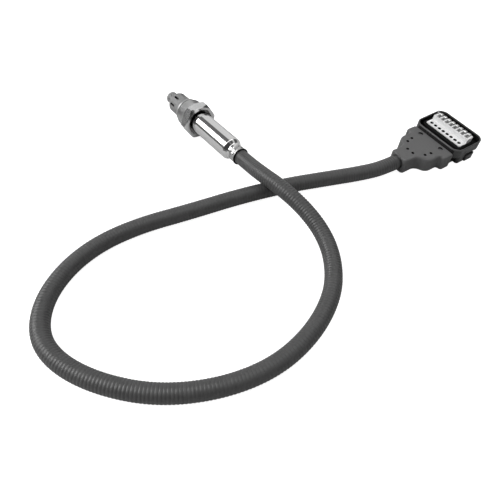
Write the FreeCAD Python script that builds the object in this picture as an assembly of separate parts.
"""Nitrogen oxide sensor: a steel probe with a loose gland nut, a corrugated conduit and a flat connector.

The probe lies level along Y with its gas inlet towards +Y, resting on one flat of the gland nut.
The origin is under the middle of the probe, on the surface that everything lies on. Millimetres.
Stations along the probe are measured from the tip back towards the conduit.
The connector has axes of its own: forward away from the conduit, side to its left, up from its flat
underside. It leans on the edge of its right side.
"""
import FreeCAD, Part
import math
import os

V = FreeCAD.Vector

# Lengths along the probe, from the tip backwards
NOSE_LENGTH = 8.3
TUBE_LENGTH = 11.8
COLLAR_LENGTH = 3.5
THREAD_LENGTH = 8.7
HEX_LENGTH = 7.0
SLEEVE_LENGTH = 35.8
SHOULDER_LENGTH = 4.7
NECK_LENGTH = 5.3
NECK_SEAL_LENGTH = 1.0

# Inlet end: two nested protection tubes
NOSE_OD = 8.4
NOSE_WALL = 0.5
NOSE_END_RADIUS = 1.0
NOSE_HOLE = 1.1
NOSE_HOLES = 8
NOSE_HOLE_STATION = 3.6
NOSE_SEAT = 4.5
TUBE_OD = 14.6
TUBE_WALL = 0.6
TUBE_CORNER = 1.4
SLOT_WIDTH = 1.5
SLOT_LENGTH = 5.0
SLOT_SETBACK = 2.3
SLOTS = 8

# Shell that carries everything, with its sealing collar
COLLAR_OD = 17.3
COLLAR_CHAMFER = 0.8
SPIGOT_LENGTH = 3.0
STEP_LENGTH = 1.5
SLEEVE_SEAT = 7.0
CUP_CLEARANCE = 0.45
PACKING_OD = 10.4
LIP_LENGTH = 1.2
CRIMP_LIP = 0.8
CRIMP_BORE = 8.6

# Ceramic stack in the shell
FRONT_BUSH = 4.5
POWDER_LENGTH = 5.5
REAR_BUSH = 5.0
PACKING_RING = 1.0
RING_BORE = 7.6

# Sensing element, a ceramic strip
ELEMENT_WIDTH = 4.0
ELEMENT_THICKNESS = 1.3
ELEMENT_START = 2.8
ELEMENT_GRIP = 11.0
LIP_CLEARANCE = 1.0
POCKET_CLEARANCE = 0.5

# Gland nut, loose on the shell and the sleeve
THREAD_OD = 20.0
THREAD_CHAMFER = 1.2
THREAD_RELIEF = 1.2
THREAD_RELIEF_DEPTH = 0.9
NUT_FLATS = 22.0
NUT_CLEARANCE = 0.7
REAR_CLEARANCE = 1.45
REAR_BORE_DEPTH = 6.5
NUT_BORE_CHAMFER = 0.4
NUT_CORNER_SLOPE = 30.0
NUT_PLAY = 0.1

# Steel sleeve, drawn down to a crimped neck
SLEEVE_OD = 15.0
SLEEVE_WALL = 0.6
NECK_OD = 11.0
NECK_WALL = 0.45
CRIMP_COUNT = 8
CRIMP_DEPTH = 0.22
CRIMP_LENGTH = 3.6
CRIMP_SETBACK = 0.8

# Contact holder, two ceramic halves in a spring clip
HOLDER_CLEARANCE = 0.37
HOLDER_SETBACK = 20.8
HOLDER_LENGTH = 12.0
HOLDER_SPLIT = 0.1
POCKET_HEIGHT = 2.3
CLIP_THICKNESS = 0.4
CLIP_LENGTH = 6.0
CLIP_GAP = 50.0

# Spring contacts and the leads behind them
SPRINGS_PER_SIDE = 4
SPRING_PITCH = 1.15
SPRING_WIDTH = 0.7
SPRING_THICKNESS = 0.25
SPRING_SETBACK = 1.5
SPRING_HOOK = 1.0
SPRING_LIFT = 0.3
SPRING_ARM = 3.0
SPRING_TOUCH = 5.0
SPRING_END = 6.5
SPRING_END_LIFT = 0.35
LEAD_OD = 0.9
LEAD_OFFSET = 1.55
LEAD_GAP = 0.8

# Rubber grommet in the shoulder and the neck, and the ring at the neck's end
GROMMET_HEAD = 2.2
NECK_SEAL_OD = 11.6
NECK_SEAL_ROUND = 0.4

# Conduit
CONDUIT_OD = 9.8
CONDUIT_GRIP = 5.0
COLLAR_GRIP = 4.0
RUN_SHARE = 0.45
STRAIGHT_START = 13.5
STRAIGHT_END = 16.0
CONDUIT_PLACES = (
    (-3.5, -67.7, 16.2),
    (-1.5, -86.2, 16.2),
    (1.0, -105.7, 12.0),
    (-0.3, -123.7, 6.8),
    (-9.2, -140.7, 5.1),
    (-24.5, -155.7, 5.0),
    (-48.0, -166.2, 5.0),
    (-74.0, -169.2, 5.0),
    (-100.0, -162.7, 5.0),
    (-124.0, -148.7, 5.0),
    (-142.0, -128.7, 5.0),
    (-152.5, -108.2, 5.0),
    (-154.0, -89.7, 5.0),
    (-144.5, -72.2, 5.0),
    (-127.0, -59.2, 5.0),
    (-105.0, -52.7, 5.0),
    (-79.5, -53.7, 5.0),
    (-51.0, -60.7, 5.0),
    (-19.5, -67.2, 5.0),
    (11.0, -76.2, 5.0),
    (37.0, -86.7, 5.0),
    (57.0, -95.2, 5.2),
)

# Connector: its place, its heading from +X, and how far its left side is lifted
CONNECTOR_X = 133.2
CONNECTOR_Y = -104.1
CONNECTOR_HEADING = -2.8
CONNECTOR_LEAN = 4.0

# Connector housing
RIM_LENGTH = 38.8
RIM_WIDTH = 28.0
RIM_TOP = 12.0
RIM_HEIGHT = 6.4
RIM_WALL = 0.9
RIM_CORNER = 6.0
RIM_EDGE = 0.3
RECESS_FLOOR = 1.2
BODY_FRONT = 6.4
BODY_REAR = -8.5
BODY_CORNER = 1.6
WEB_DROP = 1.6
LUG_REACH = 0.9
LUG_REAR = -1.4
LUG_TOP = 4.8
GROOVE_WIDTH = 0.8
GROOVE_DEPTH = 0.7
GROOVE_TOP = 3.2
WAIST_WIDTH = 33.0
WAIST_LIFT = 0.6
SPIGOT_WIDTH = 24.0
SPIGOT_REACH = 4.0
SPIGOT_HEIGHT = 4.5

# Backshell, a moulded wedge behind the housing that rises to a block round the conduit
SHELL_HEIGHT = 8.4
SHELL_HALF_WIDTHS = (17.8, 14.1, 6.7)
SHELL_WAVES = ((-21.2, -25.0), (-29.6, -41.0))
SHELL_EDGE = 1.3
SHELL_CORNER = 2.0
BOOT_REAR = -49.0
BOOT_HEIGHT = 10.7
BOOT_EDGE = 2.2
BORE_HEIGHT = 5.3
DIMPLES = ((-27.3, 8.8), (-32.0, 8.0), (-37.9, 2.4))
DIMPLE_OD = 1.5
DIMPLE_DEPTH = 0.8
PIT_PLACE = (-18.2, 9.0)
PIT_OD = 2.5
PIT_DEPTH = 0.45

# White terminal carrier
CARRIER_HALF = 15.2
CARRIER_REAR = -6.7
CARRIER_FRONT = 5.6
CARRIER_CORNER = 0.9
CARRIER_TOP = 11.4
CARRIER_FOOT_INSET = 1.4
CARRIER_FLOOR = 2.5
BLOCK_REAR = -0.4
BLOCK_TOP = 14.5
BLOCK_WALL = 0.8
CELL_WIDTH = 2.5
CONTACTS = 8
CONTACT_PITCH = 3.52
HOLE_OD = 1.9
HOLE_LINE = -4.2
TERMINAL_WALL = 0.35
TERMINAL_LENGTH = 4.5
TERMINAL_SETBACK = 0.4

# Finger contacts, along their path from the cell's floor over the crest to the front
FINGER_WIDTH = 1.9
FINGER_THICKNESS = 0.3
FINGER_HEEL = 0.9
FINGER_BEND = 0.3
FINGER_FOOT = 0.8
FINGER_CREST = 1.1
FINGER_CREST_RUN = 2.2
FINGER_DROP = 0.9

# Locating pin at one end of the raised block
PIN_OD = 0.6
PIN_TOP = 18.2
PIN_SIDE = 14.4
PIN_FORWARD = 2.8
PIN_DEPTH = 3.0

# Seal round the carrier
SEAL_WIDTH = 1.9
SEAL_HEIGHT = 4.2

# Clearances
FIT = 0.03
SNUG = 0.1
LOOSE = 0.15

# What follows from the sizes above
TUBE_FRONT = NOSE_LENGTH
COLLAR_FRONT = TUBE_FRONT + TUBE_LENGTH
COLLAR_REAR = COLLAR_FRONT + COLLAR_LENGTH
NUT_FRONT = COLLAR_REAR + NUT_PLAY
HEX_FRONT = COLLAR_REAR + THREAD_LENGTH
NUT_REAR = HEX_FRONT + HEX_LENGTH
SHOULDER = NUT_REAR + SLEEVE_LENGTH
NECK = SHOULDER + SHOULDER_LENGTH
NECK_END = NECK + NECK_LENGTH
PROBE_LENGTH = NECK_END + NECK_SEAL_LENGTH
AXIS_HEIGHT = NUT_FLATS / 2
NUT_BORE = SLEEVE_OD + 2 * NUT_CLEARANCE
REAR_BORE = SLEEVE_OD + 2 * REAR_CLEARANCE
SLEEVE_FRONT = COLLAR_REAR + STEP_LENGTH
STACK_FRONT = COLLAR_FRONT - SPIGOT_LENGTH + NOSE_SEAT + LIP_LENGTH
POWDER_FRONT = STACK_FRONT + FRONT_BUSH
REAR_BUSH_FRONT = POWDER_FRONT + POWDER_LENGTH
RING_FRONT = REAR_BUSH_FRONT + REAR_BUSH
CRIMP_FRONT = RING_FRONT + PACKING_RING
SHELL_REAR = CRIMP_FRONT + CRIMP_LIP
SLEEVE_BORE = SLEEVE_OD - 2 * SLEEVE_WALL
SHELL_CUP_OD = SLEEVE_BORE - 2 * CUP_CLEARANCE
LIP_BORE = ELEMENT_WIDTH + 2 * LIP_CLEARANCE
POCKET_WIDTH = ELEMENT_WIDTH + 2 * POCKET_CLEARANCE
HOLDER_OD = SLEEVE_BORE - 2 * (CLIP_THICKNESS + FIT + HOLDER_CLEARANCE)
HOLDER_START = SHOULDER - HOLDER_SETBACK
ELEMENT_END = HOLDER_START + ELEMENT_GRIP
SPRING_FRONT = HOLDER_START + SPRING_SETBACK
LEAD_START = HOLDER_START + HOLDER_LENGTH + LEAD_GAP
NECK_BORE = NECK_OD - 2 * NECK_WALL
CONDUIT_START = NECK_END - CONDUIT_GRIP
RIM_BOTTOM = RIM_TOP - RIM_HEIGHT
RECESS_BOTTOM = RIM_BOTTOM + RECESS_FLOOR
RIM_REAR = -RIM_WIDTH / 2
LUG_HALF = RIM_LENGTH / 2 + LUG_REACH
CONNECTOR_LIFT = LUG_HALF * math.sin(math.radians(CONNECTOR_LEAN))


def station(distance):
    """Y of a place that lies this far behind the tip."""
    return PROBE_LENGTH / 2 - distance


def turned(profile):
    """Solid turned about the probe's axis from (station, radius) corners."""
    points = [V(0, station(s), AXIS_HEIGHT + r) for s, r in profile]
    face = Part.Face(Part.makePolygon(points + points[:1]))
    return face.revolve(V(0, 0, AXIS_HEIGHT), V(0, 1, 0), 360)


def ring(front, rear, outer, bore):
    """Plain ring about the probe's axis, from its two diameters."""
    return turned([(front, bore / 2), (front, outer / 2), (rear, outer / 2), (rear, bore / 2)])


def rod(front, rear, diameter, x=0.0, up=0.0):
    """Round rod along the probe, beside or above its axis."""
    base = V(x, station(rear), AXIS_HEIGHT + up)
    return Part.makeCylinder(diameter / 2, rear - front, base, V(0, 1, 0))


def bar(front, rear, width, height, x=0.0, up=0.0):
    """Square-edged bar along the probe, centred beside or above its axis."""
    corner = V(x - width / 2, station(rear), AXIS_HEIGHT + up - height / 2)
    return Part.makeBox(width, rear - front, height, corner)


def around_probe(shape, count, first=0.0):
    """Copies of a shape, evenly spaced round the probe's axis."""
    copies = []
    for index in range(count):
        copy = shape.copy()
        copy.rotate(V(0, 0, AXIS_HEIGHT), V(0, 1, 0), first + 360.0 * index / count)
        copies.append(copy)
    return copies


def shoulder_arcs(front_radius, rear_radius):
    """The two tangent arcs of the sleeve's shoulder, between two radii, with the radii as a line."""
    run = SHOULDER_LENGTH / 2
    drop = (front_radius - rear_radius) / 2
    radius = (run * run + drop * drop) / (2 * drop)
    half = math.asin(run / radius) / 2
    side = radius * math.sin(half)
    rise = radius * (1 - math.cos(half))
    spots = (
        (SHOULDER, front_radius),
        (SHOULDER + side, front_radius - rise),
        (SHOULDER + run, front_radius - drop),
        (NECK - side, rear_radius + rise),
        (NECK, rear_radius),
    )
    a, b, c, d, e = [V(0, station(s), AXIS_HEIGHT + r) for s, r in spots]
    return [Part.Arc(a, b, c).toShape(), Part.Arc(c, d, e).toShape()]


def drawn_body(front, rear, front_radius, rear_radius):
    """Solid with the sleeve's own shoulder, from one radius to a smaller one."""
    def spot(s, r):
        return V(0, station(s), AXIS_HEIGHT + r)

    edges = [
        Part.makeLine(spot(front, 0), spot(front, front_radius)),
        Part.makeLine(spot(front, front_radius), spot(SHOULDER, front_radius)),
    ]
    edges += shoulder_arcs(front_radius, rear_radius)
    edges += [
        Part.makeLine(spot(NECK, rear_radius), spot(rear, rear_radius)),
        Part.makeLine(spot(rear, rear_radius), spot(rear, 0)),
        Part.makeLine(spot(rear, 0), spot(front, 0)),
    ]
    face = Part.Face(Part.Wire(edges))
    return face.revolve(V(0, 0, AXIS_HEIGHT), V(0, 1, 0), 360)


def inner_protection_tube():
    """Closed nose tube with a ring of small gas holes, seated in the shell."""
    rear = COLLAR_FRONT - SPIGOT_LENGTH + NOSE_SEAT
    outer = rod(0, rear, NOSE_OD)
    bore = rod(NOSE_WALL, rear, NOSE_OD - 2 * NOSE_WALL)
    front_edge = [e for e in outer.Edges if abs(e.BoundBox.YMin - station(0)) < 1e-6]
    bore_edge = [e for e in bore.Edges if abs(e.BoundBox.YMin - station(NOSE_WALL)) < 1e-6]
    outer = outer.makeFillet(NOSE_END_RADIUS, front_edge[:1])
    bore = bore.makeFillet(NOSE_END_RADIUS - NOSE_WALL, bore_edge[:1])
    hole = Part.makeCylinder(
        NOSE_HOLE / 2, NOSE_OD, V(0, station(NOSE_HOLE_STATION), AXIS_HEIGHT), V(0, 0, 1)
    )
    return outer.cut(bore).cut(around_probe(hole, NOSE_HOLES, 180.0 / NOSE_HOLES))


def outer_protection_tube():
    """Cup round the nose tube, with long gas slots, pressed over the shell's spigot."""
    outer = rod(TUBE_FRONT, COLLAR_FRONT, TUBE_OD)
    edge = [e for e in outer.Edges if abs(e.BoundBox.YMin - station(TUBE_FRONT)) < 1e-6]
    outer = outer.makeFillet(TUBE_CORNER, edge[:1])
    bore = rod(TUBE_FRONT + TUBE_WALL, COLLAR_FRONT, TUBE_OD - 2 * TUBE_WALL)
    mouth = rod(TUBE_FRONT, COLLAR_FRONT, NOSE_OD + 2 * FIT)
    front = TUBE_FRONT + SLOT_SETBACK
    ends = [front + SLOT_WIDTH / 2, front + SLOT_LENGTH - SLOT_WIDTH / 2]
    slot = Part.makeBox(
        SLOT_WIDTH, ends[1] - ends[0], TUBE_OD, V(-SLOT_WIDTH / 2, station(ends[1]), AXIS_HEIGHT)
    )
    for end in ends:
        slot = slot.fuse(
            Part.makeCylinder(SLOT_WIDTH / 2, TUBE_OD, V(0, station(end), AXIS_HEIGHT), V(0, 0, 1))
        )
    slots = around_probe(slot, SLOTS, 180.0 / SLOTS)
    return outer.cut(bore).cut(mouth).cut(slots)


def sensor_shell():
    """Turned steel shell: spigot, sealing collar, sleeve seat, packing bore and crimped rear lip."""
    spigot_front = COLLAR_FRONT - SPIGOT_LENGTH
    spigot = TUBE_OD / 2 - TUBE_WALL - FIT
    seat = SLEEVE_BORE / 2 - FIT
    seat_rear = SLEEVE_FRONT + SLEEVE_SEAT
    nose_rear = spigot_front + NOSE_SEAT
    return turned([
        (spigot_front, NOSE_OD / 2 + FIT),
        (spigot_front, spigot),
        (COLLAR_FRONT, spigot),
        (COLLAR_FRONT, COLLAR_OD / 2 - COLLAR_CHAMFER),
        (COLLAR_FRONT + COLLAR_CHAMFER, COLLAR_OD / 2),
        (COLLAR_REAR, COLLAR_OD / 2),
        (COLLAR_REAR, SLEEVE_OD / 2),
        (SLEEVE_FRONT, SLEEVE_OD / 2),
        (SLEEVE_FRONT, seat),
        (seat_rear, seat),
        (seat_rear, SHELL_CUP_OD / 2),
        (SHELL_REAR, SHELL_CUP_OD / 2),
        (SHELL_REAR, CRIMP_BORE / 2),
        (CRIMP_FRONT, CRIMP_BORE / 2),
        (CRIMP_FRONT, PACKING_OD / 2),
        (STACK_FRONT, PACKING_OD / 2),
        (STACK_FRONT, LIP_BORE / 2),
        (nose_rear, LIP_BORE / 2),
        (nose_rear, NOSE_OD / 2 + FIT),
    ])


def element_slot(front, rear, gap):
    """Cutter for the strip's passage through a bush, wider than the strip by the gap."""
    return bar(front, rear, ELEMENT_WIDTH + 2 * gap, ELEMENT_THICKNESS + 2 * gap)


def stack_piece(front, length, gap):
    """Round ceramic or powder piece in the packing bore, with the strip's passage through it."""
    disc = rod(front, front + length, PACKING_OD - 2 * FIT)
    return disc.cut(element_slot(front - 1, front + length + 1, gap))


def front_bush():
    """Ceramic bush that rests on the shell's inner lip."""
    return stack_piece(STACK_FRONT, FRONT_BUSH, SNUG)


def powder_packing():
    """Pressed powder that seals the strip in the shell."""
    return stack_piece(POWDER_FRONT, POWDER_LENGTH, 0)


def rear_bush():
    """Ceramic bush that presses on the powder."""
    return stack_piece(REAR_BUSH_FRONT, REAR_BUSH, SNUG)


def packing_ring():
    """Steel ring between the rear bush and the crimped lip."""
    return ring(RING_FRONT, CRIMP_FRONT, PACKING_OD - 2 * FIT, RING_BORE)


def sensing_element():
    """Layered ceramic strip from the nose to the contacts."""
    return bar(ELEMENT_START, ELEMENT_END, ELEMENT_WIDTH, ELEMENT_THICKNESS)


def hexagon_cut():
    """Six-sided prism with chamfered corners, one flat downwards."""
    corner = NUT_FLATS / math.sqrt(3)
    points = []
    for index in range(7):
        angle = math.radians(60 * index)
        points.append(V(corner * math.cos(angle), station(NUT_REAR), AXIS_HEIGHT + corner * math.sin(angle)))
    prism = Part.Face(Part.makePolygon(points)).extrude(V(0, HEX_LENGTH, 0))
    slope = (corner - NUT_FLATS / 2) * math.tan(math.radians(NUT_CORNER_SLOPE))
    envelope = turned([
        (HEX_FRONT, 0),
        (HEX_FRONT, NUT_FLATS / 2),
        (HEX_FRONT + slope, corner),
        (NUT_REAR - slope, corner),
        (NUT_REAR, NUT_FLATS / 2),
        (NUT_REAR, 0),
    ])
    return prism.common(envelope)


def gland_nut():
    """Loose nut: threaded nose, relief groove and hexagon, with a wider bore at its rear."""
    radius = THREAD_OD / 2
    relief = radius - THREAD_RELIEF_DEPTH
    threaded = turned([
        (NUT_FRONT, 0),
        (NUT_FRONT, radius - THREAD_CHAMFER),
        (NUT_FRONT + THREAD_CHAMFER, radius),
        (HEX_FRONT - THREAD_RELIEF, radius),
        (HEX_FRONT - THREAD_RELIEF, relief),
        (HEX_FRONT, relief),
        (HEX_FRONT, 0),
    ])
    bore = NUT_BORE / 2
    rear_bore = REAR_BORE / 2
    cutter = turned([
        (NUT_FRONT, 0),
        (NUT_FRONT, bore),
        (NUT_REAR - REAR_BORE_DEPTH, bore),
        (NUT_REAR - REAR_BORE_DEPTH, rear_bore),
        (NUT_REAR - NUT_BORE_CHAMFER, rear_bore),
        (NUT_REAR, rear_bore + NUT_BORE_CHAMFER),
        (NUT_REAR, 0),
    ])
    return threaded.fuse(hexagon_cut()).removeSplitter().cut(cutter)


def outer_sleeve():
    """Bright steel sleeve with a drawn shoulder and a neck crimped by flat jaws."""
    outer = drawn_body(SLEEVE_FRONT, NECK_END, SLEEVE_OD / 2, NECK_OD / 2)
    inner = drawn_body(SLEEVE_FRONT, NECK_END, SLEEVE_BORE / 2, NECK_BORE / 2)
    front = NECK + CRIMP_SETBACK
    flat = NECK_OD / 2 - CRIMP_DEPTH
    jaw = Part.makeBox(
        NECK_OD, CRIMP_LENGTH, NECK_OD, V(-NECK_OD / 2, station(front + CRIMP_LENGTH), AXIS_HEIGHT + flat)
    )
    return outer.cut(inner).cut(around_probe(jaw, CRIMP_COUNT))


def holder_half(side):
    """Half of the round ceramic contact holder, above (+1) or below (-1) the strip."""
    rear = HOLDER_START + HOLDER_LENGTH
    half = rod(HOLDER_START, rear, HOLDER_OD)
    keep = bar(HOLDER_START, rear, HOLDER_OD, HOLDER_OD, 0, side * (HOLDER_OD + HOLDER_SPLIT) / 2)
    pocket = bar(HOLDER_START, rear, POCKET_WIDTH, 2 * POCKET_HEIGHT)
    return half.common(keep).cut(pocket)


def holder_clip():
    """Open spring band round the two holder halves."""
    front = HOLDER_START + (HOLDER_LENGTH - CLIP_LENGTH) / 2
    inner = HOLDER_OD + 2 * FIT
    band = ring(front, front + CLIP_LENGTH, inner + 2 * CLIP_THICKNESS, inner)
    width = inner * math.sin(math.radians(CLIP_GAP / 2))
    gap = bar(front, front + CLIP_LENGTH, width, HOLDER_OD, 0, HOLDER_OD)
    gap.translate(V(0, 0, -HOLDER_OD / 2))
    return band.cut(gap)


def strip_between(points, thickness, normal, width):
    """Bent strip of even thickness along a path, extruded to its width along the normal."""
    left, right = [], []
    for index, point in enumerate(points):
        before = points[max(index - 1, 0)]
        after = points[min(index + 1, len(points) - 1)]
        into = (point - before) if index else (after - point)
        out = (after - point) if index < len(points) - 1 else (point - before)
        into.normalize()
        out.normalize()
        middle = into + out
        middle.normalize()
        across = normal.cross(middle)
        reach = thickness / 2 / max(into.dot(middle), 0.35)
        left.append(point + across * reach)
        right.append(point - across * reach)
    outline = left + right[::-1]
    face = Part.Face(Part.makePolygon(outline + outline[:1]))
    solid = face.extrude(normal * width)
    solid.translate(normal * (-width / 2))
    return solid


def contact_springs():
    """Eight bowed springs that press on the strip's pads, four above and four below."""
    half = SPRING_THICKNESS / 2
    touch = ELEMENT_THICKNESS / 2 + half
    roof = POCKET_HEIGHT - half - FIT
    path = (
        (LEAD_START, roof),
        (SPRING_FRONT + SPRING_HOOK, roof),
        (SPRING_FRONT, (roof + touch) / 2),
        (SPRING_FRONT + SPRING_HOOK, touch + SPRING_LIFT),
        (SPRING_FRONT + SPRING_ARM, touch + SPRING_LIFT),
        (SPRING_FRONT + SPRING_TOUCH, touch),
        (SPRING_FRONT + SPRING_END, touch + SPRING_END_LIFT),
    )
    springs = []
    for side in (1, -1):
        for index in range(SPRINGS_PER_SIDE):
            x = (index - (SPRINGS_PER_SIDE - 1) / 2) * SPRING_PITCH
            points = [V(x, station(s), AXIS_HEIGHT + side * up) for s, up in path]
            springs.append(strip_between(points, SPRING_THICKNESS, V(1, 0, 0), SPRING_WIDTH))
    return Part.makeCompound(springs)


def lead_places():
    """Where the leads lie beside and above the probe's axis."""
    places = []
    for side in (1, -1):
        for index in range(SPRINGS_PER_SIDE):
            x = (index - (SPRINGS_PER_SIDE - 1) / 2) * SPRING_PITCH
            places.append((x, side * LEAD_OFFSET))
    return places


def lead_wires():
    """Eight insulated leads from the springs through the grommet."""
    return Part.makeCompound(
        [rod(LEAD_START, CONDUIT_START, LEAD_OD, x, up) for x, up in lead_places()]
    )


def rubber_grommet():
    """Seal that fills the shoulder, pierced by the leads."""
    body = drawn_body(
        SHOULDER - GROMMET_HEAD, CONDUIT_START, SLEEVE_BORE / 2 - LOOSE, NECK_BORE / 2 - LOOSE
    )
    holes = [
        rod(SHOULDER - GROMMET_HEAD - 1, CONDUIT_START + 1, LEAD_OD + 2 * FIT, x, up)
        for x, up in lead_places()
    ]
    return body.cut(holes)


def neck_seal_ring():
    """Black ring round the conduit, against the end of the neck."""
    outer = NECK_SEAL_OD / 2
    body = ring(NECK_END, PROBE_LENGTH, NECK_SEAL_OD, CONDUIT_OD + 2 * SNUG)
    edges = [
        e for e in body.Edges
        if hasattr(e.Curve, "Radius") and abs(e.Curve.Radius - outer) < 1e-6
    ]
    return body.makeFillet(NECK_SEAL_ROUND, edges)


def set_down(shape):
    """A shape made in the connector's axes, leaned, turned and moved to its place."""
    shape.rotate(V(0, 0, 0), V(1, 0, 0), CONNECTOR_LEAN)
    shape.rotate(V(0, 0, 0), V(0, 0, 1), CONNECTOR_HEADING)
    shape.translate(V(CONNECTOR_X, CONNECTOR_Y, CONNECTOR_LIFT))
    return shape


def connector_point(forward, side, up):
    """Place on the connector in the object's own frame."""
    return set_down(Part.Vertex(forward, side, up)).Point


def conduit_route():
    """Corners of the conduit's route: out of the neck, over itself, round the loop, to the connector."""
    start = station(CONDUIT_START)
    entry = BOOT_REAR + COLLAR_GRIP
    ends = [V(0, start, AXIS_HEIGHT), V(0, start - STRAIGHT_START, AXIS_HEIGHT)]
    ends_rear = [connector_point(entry - STRAIGHT_END, 0, BORE_HEIGHT), connector_point(entry, 0, BORE_HEIGHT)]
    return ends + [V(*place) for place in CONDUIT_PLACES] + ends_rear


def corrugated_conduit():
    """Tube along the route: straight runs joined by tangent arcs."""
    route = conduit_route()
    edges = []
    radii = []
    reached = route[0]
    for before, corner, after in zip(route, route[1:], route[2:]):
        back = before - corner
        ahead = after - corner
        shorter = min(back.Length, ahead.Length)
        back.normalize()
        ahead.normalize()
        half_turn = (math.pi - back.getAngle(ahead)) / 2
        radius = RUN_SHARE * shorter / math.tan(half_turn)
        radii.append(radius)
        first = corner + back * (RUN_SHARE * shorter)
        last = corner + ahead * (RUN_SHARE * shorter)
        bisector = back + ahead
        bisector.normalize()
        centre_gap = radius / math.cos(half_turn)
        middle = corner + bisector * (centre_gap - radius)
        edges.append(Part.LineSegment(reached, first).toShape())
        edges.append(Part.Arc(first, middle, last).toShape())
        reached = last
    edges.append(Part.LineSegment(reached, route[-1]).toShape())
    path = Part.Wire(edges)
    section = Part.Wire([Part.makeCircle(CONDUIT_OD / 2, route[0], route[1] - route[0])])
    tube = path.makePipeShell([section], True, False)
    plain = math.pi * (CONDUIT_OD / 2) ** 2 * path.Length
    print("conduit radii", [round(radius, 1) for radius in radii])
    print("conduit length", round(path.Length, 1), "volume ratio", round(tube.Volume / plain, 4))
    return tube


def rounded_plate(rear, front, half, corner, bottom, top):
    """Upright plate with rounded corners in the connector's axes."""
    length = front - rear
    plate = Part.makeBox(length, 2 * half, top - bottom, V(rear, -half, bottom))
    uprights = [
        e for e in plate.Edges
        if abs(e.Vertexes[0].X - e.Vertexes[-1].X) < 1e-6 and abs(e.Vertexes[0].Y - e.Vertexes[-1].Y) < 1e-6
    ]
    return plate.makeFillet(corner, uprights)


def edges_at_height(shape, height):
    """Edges that lie wholly at one height."""
    return [
        e for e in shape.Edges
        if abs(e.BoundBox.ZMin - height) < 1e-4 and abs(e.BoundBox.ZMax - height) < 1e-4
    ]


def connector_housing():
    """Black housing: rounded rim with a recess, on a narrower body with a waist and a spigot."""
    half = RIM_LENGTH / 2
    rim = rounded_plate(RIM_REAR, -RIM_REAR, half, RIM_CORNER, RIM_BOTTOM, RIM_TOP)
    rim = rim.makeFillet(RIM_EDGE, edges_at_height(rim, RIM_TOP))
    recess = rounded_plate(
        RIM_REAR + RIM_WALL, -RIM_REAR - RIM_WALL, half - RIM_WALL, RIM_CORNER - RIM_WALL,
        RECESS_BOTTOM, RIM_TOP + 1,
    )
    body = rounded_plate(BODY_REAR, BODY_FRONT, half, BODY_CORNER, 0, RIM_BOTTOM)
    lugs = rounded_plate(LUG_REAR, BODY_FRONT, LUG_HALF, BODY_CORNER / 2, 0, LUG_TOP)
    grooves = [
        Part.makeBox(
            GROOVE_WIDTH, GROOVE_DEPTH, GROOVE_TOP,
            V(LUG_REAR - GROOVE_WIDTH, side * half - (side + 1) / 2 * GROOVE_DEPTH, 0),
        )
        for side in (1, -1)
    ]
    waist = Part.makeBox(
        BODY_REAR - RIM_REAR + BODY_CORNER, WAIST_WIDTH, RIM_BOTTOM - WAIST_LIFT,
        V(RIM_REAR, -WAIST_WIDTH / 2, WAIST_LIFT),
    )
    spigot = Part.makeBox(
        SPIGOT_REACH, SPIGOT_WIDTH, SPIGOT_HEIGHT,
        V(RIM_REAR - SPIGOT_REACH, -SPIGOT_WIDTH / 2, (SHELL_HEIGHT - SPIGOT_HEIGHT) / 2),
    )
    foot = carrier_foot(SNUG)
    web = corner_web()
    solid = rim.fuse([body, lugs, waist, spigot, web]).removeSplitter()
    return set_down(solid.cut(recess).cut(foot).cut(grooves))


def corner_web():
    """Sloping web under the rim's overhang, across the front of the body."""
    points = [
        V(BODY_FRONT, 0, RIM_BOTTOM),
        V(-RIM_REAR - WEB_DROP, 0, RIM_BOTTOM),
        V(BODY_FRONT, 0, RIM_BOTTOM - WEB_DROP),
    ]
    face = Part.Face(Part.makePolygon(points + points[:1]))
    width = RIM_LENGTH - 2 * RIM_CORNER
    web = face.extrude(V(0, width, 0))
    web.translate(V(0, -width / 2, 0))
    return web


def carrier_foot(gap):
    """Lower part of the carrier, or with a gap the pocket that it stands in."""
    inset = CARRIER_FOOT_INSET - gap
    return rounded_plate(
        CARRIER_REAR + inset, CARRIER_FRONT - inset, CARRIER_HALF - inset, CARRIER_CORNER,
        CARRIER_FLOOR - gap, RECESS_BOTTOM + gap,
    )


def contact_sides():
    """Sideways places of the contacts, evenly pitched about the middle."""
    return [(index - (CONTACTS - 1) / 2) * CONTACT_PITCH for index in range(CONTACTS)]


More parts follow.
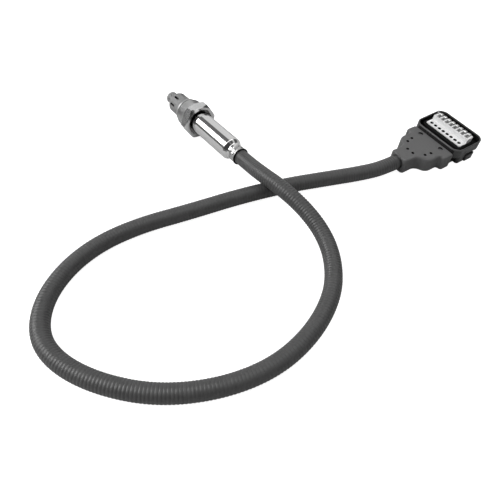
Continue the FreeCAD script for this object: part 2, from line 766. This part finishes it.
def terminal_carrier():
    """White carrier: low step with round holes, and a raised block with a cell for each finger."""
    step = rounded_plate(
        CARRIER_REAR, CARRIER_FRONT, CARRIER_HALF, CARRIER_CORNER, RECESS_BOTTOM, CARRIER_TOP
    )
    block = Part.makeBox(
        CARRIER_FRONT - BLOCK_REAR, 2 * CARRIER_HALF, BLOCK_TOP - RECESS_BOTTOM,
        V(BLOCK_REAR, -CARRIER_HALF, RECESS_BOTTOM),
    )
    block = block.common(
        rounded_plate(CARRIER_REAR, CARRIER_FRONT, CARRIER_HALF, CARRIER_CORNER, 0, BLOCK_TOP)
    )
    solid = step.fuse([block, carrier_foot(0)]).removeSplitter()
    cell_rear = BLOCK_REAR + BLOCK_WALL
    notch = finger_leg() - FINGER_THICKNESS
    cutters = []
    for side in contact_sides():
        left = side - CELL_WIDTH / 2
        cutters.append(Part.makeBox(
            CARRIER_FRONT - cell_rear + 1, CELL_WIDTH, BLOCK_TOP, V(cell_rear, left, CARRIER_TOP)
        ))
        cutters.append(Part.makeBox(
            CARRIER_FRONT - notch + 1, CELL_WIDTH, CARRIER_TOP, V(notch, left, RECESS_BOTTOM + SNUG)
        ))
        depth = TERMINAL_SETBACK + TERMINAL_LENGTH
        cutters.append(Part.makeCylinder(
            HOLE_OD / 2, depth, V(HOLE_LINE, side, CARRIER_TOP - depth), V(0, 0, 1)
        ))
    cutters.append(Part.makeCylinder(
        PIN_OD / 2 + FIT, BLOCK_TOP, V(PIN_FORWARD, PIN_SIDE, BLOCK_TOP - PIN_DEPTH), V(0, 0, 1)
    ))
    return set_down(solid.cut(cutters))


def socket_terminals():
    """Eight round sockets in the holes of the low step."""
    outer = HOLE_OD / 2 - FIT
    base = CARRIER_TOP - TERMINAL_SETBACK - TERMINAL_LENGTH
    sockets = []
    for side in contact_sides():
        foot = V(HOLE_LINE, side, base)
        sleeve = Part.makeCylinder(outer, TERMINAL_LENGTH, foot, V(0, 0, 1))
        bore = Part.makeCylinder(
            outer - TERMINAL_WALL, TERMINAL_LENGTH, foot + V(0, 0, TERMINAL_WALL), V(0, 0, 1)
        )
        sockets.append(sleeve.cut(bore))
    return set_down(Part.makeCompound(sockets))


def finger_leg():
    """How far forward the middle of each finger's upright leg stands."""
    return CARRIER_FRONT - FINGER_THICKNESS


def finger_contacts():
    """Eight spring fingers that slope up through their cells and turn down at the front."""
    half = FINGER_THICKNESS / 2
    low = CARRIER_TOP + half
    high = BLOCK_TOP + FINGER_CREST - half
    rear = BLOCK_REAR + BLOCK_WALL + half + FIT
    leg = finger_leg()
    crest = leg - FINGER_CREST_RUN
    path = (
        (rear, low + FINGER_HEEL),
        (rear + FINGER_BEND, low),
        (rear + FINGER_FOOT, low),
        (crest - FINGER_BEND, high - FINGER_BEND),
        (crest + FINGER_BEND, high),
        (leg - FINGER_DROP, high - FINGER_BEND),
        (leg, high - FINGER_DROP),
        (leg, RECESS_BOTTOM + 2 * SNUG),
    )
    fingers = []
    for side in contact_sides():
        points = [V(forward, side, up) for forward, up in path]
        fingers.append(strip_between(points, FINGER_THICKNESS, V(0, 1, 0), FINGER_WIDTH))
    return set_down(Part.makeCompound(fingers))


def locating_pin():
    """Thin upright pin at one end of the raised block."""
    base = V(PIN_FORWARD, PIN_SIDE, BLOCK_TOP - PIN_DEPTH)
    pin = Part.makeCylinder(PIN_OD / 2, PIN_TOP - base.z, base, V(0, 0, 1))
    return set_down(pin)


def connector_seal():
    """Black sealing ring that lies in the recess, round the carrier."""
    bottom = RECESS_BOTTOM
    top = bottom + SEAL_HEIGHT
    inner = rounded_plate(
        CARRIER_REAR - SNUG, CARRIER_FRONT + SNUG, CARRIER_HALF + SNUG, CARRIER_CORNER + SNUG,
        bottom - 1, top + 1,
    )
    reach = SNUG + SEAL_WIDTH
    outer = rounded_plate(
        CARRIER_REAR - reach, CARRIER_FRONT + reach, CARRIER_HALF + reach, CARRIER_CORNER + reach,
        bottom, top,
    )
    outer = outer.makeFillet(SEAL_WIDTH / 3, edges_at_height(outer, top))
    return set_down(outer.cut(inner))


def wave(start, end, half_start, half_end, side):
    """Two tangent arcs that carry the backshell's outline from one half width to the next."""
    run = (end - start) / 2
    drop = (half_end - half_start) / 2
    radius = (run * run + drop * drop) / (2 * abs(drop))
    half = math.asin(min(abs(run) / radius, 1)) / 2
    along = math.copysign(radius * math.sin(half), run)
    off = math.copysign(radius * (1 - math.cos(half)), drop)
    spots = (
        (start, half_start),
        (start + along, half_start + off),
        (start + run, half_start + drop),
        (end - along, half_end - off),
        (end, half_end),
    )
    a, b, c, d, e = [V(x, side * y, 0) for x, y in spots]
    return [Part.Arc(a, b, c).toShape(), Part.Arc(c, d, e).toShape()]


def shell_outline():
    """Closed outline of the backshell: straight stretches joined by waves, alike on both sides."""
    edges = []
    for side in (1, -1):
        place = RIM_REAR
        for index, (start, end) in enumerate(SHELL_WAVES):
            half = SHELL_HALF_WIDTHS[index]
            edges.append(Part.makeLine(V(place, side * half, 0), V(start, side * half, 0)))
            edges += wave(start, end, half, SHELL_HALF_WIDTHS[index + 1], side)
            place = end
        last = SHELL_HALF_WIDTHS[-1]
        edges.append(Part.makeLine(V(place, side * last, 0), V(BOOT_REAR, side * last, 0)))
    first = SHELL_HALF_WIDTHS[0]
    edges.append(Part.makeLine(V(BOOT_REAR, last, 0), V(BOOT_REAR, -last, 0)))
    edges.append(Part.makeLine(V(RIM_REAR, first, 0), V(RIM_REAR, -first, 0)))
    return Part.Wire(Part.__sortEdges__(edges))


def shell_top(forward):
    """Height of the backshell's top, which rises in one long arc towards the conduit."""
    run = RIM_REAR - BOOT_REAR
    rise = BOOT_HEIGHT - SHELL_HEIGHT
    radius = (run * run + rise * rise) / (2 * rise)
    along = RIM_REAR - forward
    return SHELL_HEIGHT + radius - math.sqrt(radius * radius - along * along)


def shell_side():
    """Slab with the backshell's side view, wider than the backshell."""
    middle = (RIM_REAR + BOOT_REAR) / 2
    front, half, rear = [V(f, 0, shell_top(f)) for f in (RIM_REAR, middle, BOOT_REAR)]
    foot_front = V(RIM_REAR, 0, 0)
    foot_rear = V(BOOT_REAR, 0, 0)
    edges = [
        Part.makeLine(foot_front, front),
        Part.Arc(front, half, rear).toShape(),
        Part.makeLine(rear, foot_rear),
        Part.makeLine(foot_rear, foot_front),
    ]
    slab = Part.Face(Part.Wire(edges)).extrude(V(0, RIM_LENGTH, 0))
    slab.translate(V(0, -RIM_LENGTH / 2, 0))
    return slab


def pit(forward, side, diameter, depth):
    """Cutter for a round pit in the top of the backshell."""
    floor = V(forward, side, shell_top(forward) - depth)
    return Part.makeCylinder(diameter / 2, BOOT_HEIGHT, floor, V(0, 0, 1))


def upright_at(shape, forward):
    """Upright edges that stand this far forward."""
    return [
        e for e in shape.Edges
        if abs(e.BoundBox.XMax - forward) < 1e-4 and abs(e.BoundBox.XMin - forward) < 1e-4
        and e.BoundBox.YLength < 1e-4
    ]


def connector_backshell():
    """Moulded wedge behind the housing, with a block at its rear that takes the conduit's end."""
    wedge = Part.Face(shell_outline()).extrude(V(0, 0, BOOT_HEIGHT + 1)).common(shell_side())
    wedge = wedge.makeFillet(BOOT_EDGE, upright_at(wedge, BOOT_REAR))
    wedge = wedge.makeFillet(SHELL_CORNER, upright_at(wedge, RIM_REAR))
    top = [
        e for e in wedge.Edges
        if e.BoundBox.ZMin > SHELL_HEIGHT - 1e-3
        and not (e.BoundBox.XLength < 1e-4 and abs(e.BoundBox.XMax - RIM_REAR) < 1e-4)
    ]
    wedge = wedge.makeFillet(SHELL_EDGE, top)
    bore = Part.makeCylinder(
        CONDUIT_OD / 2 + SNUG, COLLAR_GRIP, V(BOOT_REAR, 0, BORE_HEIGHT), V(1, 0, 0)
    )
    gap = 2 * SNUG
    pocket = Part.makeBox(
        SPIGOT_REACH + SNUG, SPIGOT_WIDTH + gap, SPIGOT_HEIGHT + gap,
        V(RIM_REAR - SPIGOT_REACH - SNUG, -SPIGOT_WIDTH / 2 - SNUG,
          (SHELL_HEIGHT - SPIGOT_HEIGHT) / 2 - SNUG),
    )
    cutters = [bore, pocket]
    for side in (1, -1):
        for forward, offset in DIMPLES:
            cutters.append(pit(forward, side * offset, DIMPLE_OD, DIMPLE_DEPTH))
        cutters.append(pit(PIT_PLACE[0], side * PIT_PLACE[1], PIT_OD, PIT_DEPTH))
    return set_down(wedge.cut(cutters))


NODES = {
    "inner_protection_tube": inner_protection_tube,
    "outer_protection_tube": outer_protection_tube,
    "sensing_element": sensing_element,
    "sensor_shell": sensor_shell,
    "front_ceramic_bush": front_bush,
    "powder_packing": powder_packing,
    "rear_ceramic_bush": rear_bush,
    "packing_ring": packing_ring,
    "gland_nut": gland_nut,
    "outer_sleeve": outer_sleeve,
    "contact_holder_upper": lambda: holder_half(1),
    "contact_holder_lower": lambda: holder_half(-1),
    "holder_clip": holder_clip,
    "contact_springs": contact_springs,
    "lead_wires": lead_wires,
    "rubber_grommet": rubber_grommet,
    "neck_seal_ring": neck_seal_ring,
    "corrugated_conduit": corrugated_conduit,
    "connector_backshell": connector_backshell,
    "connector_housing": connector_housing,
    "connector_seal": connector_seal,
    "terminal_carrier": terminal_carrier,
    "socket_terminals": socket_terminals,
    "finger_contacts": finger_contacts,
    "locating_pin": locating_pin,
}


def main():
    """Build every piece and write it to its own file."""
    os.makedirs("parts", exist_ok=True)
    for name, build in NODES.items():
        shape = build()
        if not shape.isValid() or not shape.Solids:
            raise ValueError(name + " is not a valid solid")
        shape.exportStep("parts/" + name + ".step")
        print(name, len(shape.Solids), "solids", round(shape.Volume, 1), "mm3")


main()
